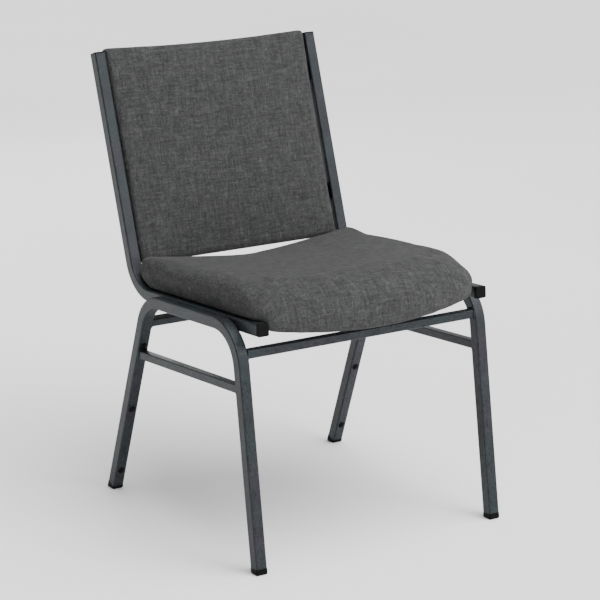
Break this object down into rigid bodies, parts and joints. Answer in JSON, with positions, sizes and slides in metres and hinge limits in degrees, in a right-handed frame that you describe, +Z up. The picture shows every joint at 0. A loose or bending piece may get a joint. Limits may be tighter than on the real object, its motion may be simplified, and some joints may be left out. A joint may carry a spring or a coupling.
{
  "type": "stacking chair",
  "caption": "Armless stacking chair: bent square-tube steel frame with stretchers, and a padded fabric seat and back.",
  "frame": {"origin": "middle of the overall box at floor level", "axes": "+Z up, +Y towards the back of the chair, +X to the right of someone who faces the chair's front"},
  "size_m": [0.5384, 0.6318, 0.8543],
  "materials": {
    "frame_coat": "slate grey textured vein powder coat, semi-gloss",
    "black_plastic": "moulded black plastic",
    "black_rubber": "moulded black rubber",
    "upholstery": "mid grey heathered plain weave",
    "foam": "pale polyurethane foam, hidden under the cover",
    "plywood": "moulded plywood, raw",
    "hardboard": "brown hardboard, hidden under the cover",
    "dust_cover": "black nonwoven cloth",
    "zinc_steel": "zinc plated"
  },
  "bodies": {
    "root": {"back_board": "plywood", "back_bolts": "zinc_steel", "back_cover": "upholstery", "back_foam": "foam", "back_panel": "hardboard", "back_panel_cover": "upholstery", "back_staples": "zinc_steel", "back_tee_nuts": "zinc_steel", "back_washers": "zinc_steel", "front_left_glide": "black_plastic", "front_right_glide": "black_plastic", "front_stretcher": "frame_coat", "left_front_seat_tab": "frame_coat", "left_high_back_tab": "frame_coat", "left_high_bumper": "black_rubber", "left_leg_frame": "frame_coat", "left_low_back_tab": "frame_coat", "left_low_bumper": "black_rubber", "left_middle_bumper": "black_rubber", "left_rail_cap": "black_plastic", "left_rail_upright": "frame_coat", "left_rear_seat_tab": "frame_coat", "left_side_stretcher": "frame_coat", "left_upright_cap": "black_plastic", "rear_left_glide": "black_plastic", "rear_right_glide": "black_plastic", "rear_stretcher": "frame_coat", "right_front_seat_tab": "frame_coat", "right_high_back_tab": "frame_coat", "right_high_bumper": "black_rubber", "right_leg_frame": "frame_coat", "right_low_back_tab": "frame_coat", "right_low_bumper": "black_rubber", "right_middle_bumper": "black_rubber", "right_rail_cap": "black_plastic", "right_rail_upright": "frame_coat", "right_rear_seat_tab": "frame_coat", "right_side_stretcher": "frame_coat", "right_upright_cap": "black_plastic", "seat_board": "plywood", "seat_bolts": "zinc_steel", "seat_cover": "upholstery", "seat_dust_cover": "dust_cover", "seat_foam": "foam", "seat_staples": "zinc_steel", "seat_tee_nuts": "zinc_steel", "seat_washers": "zinc_steel"}
  },
  "joints": []
}
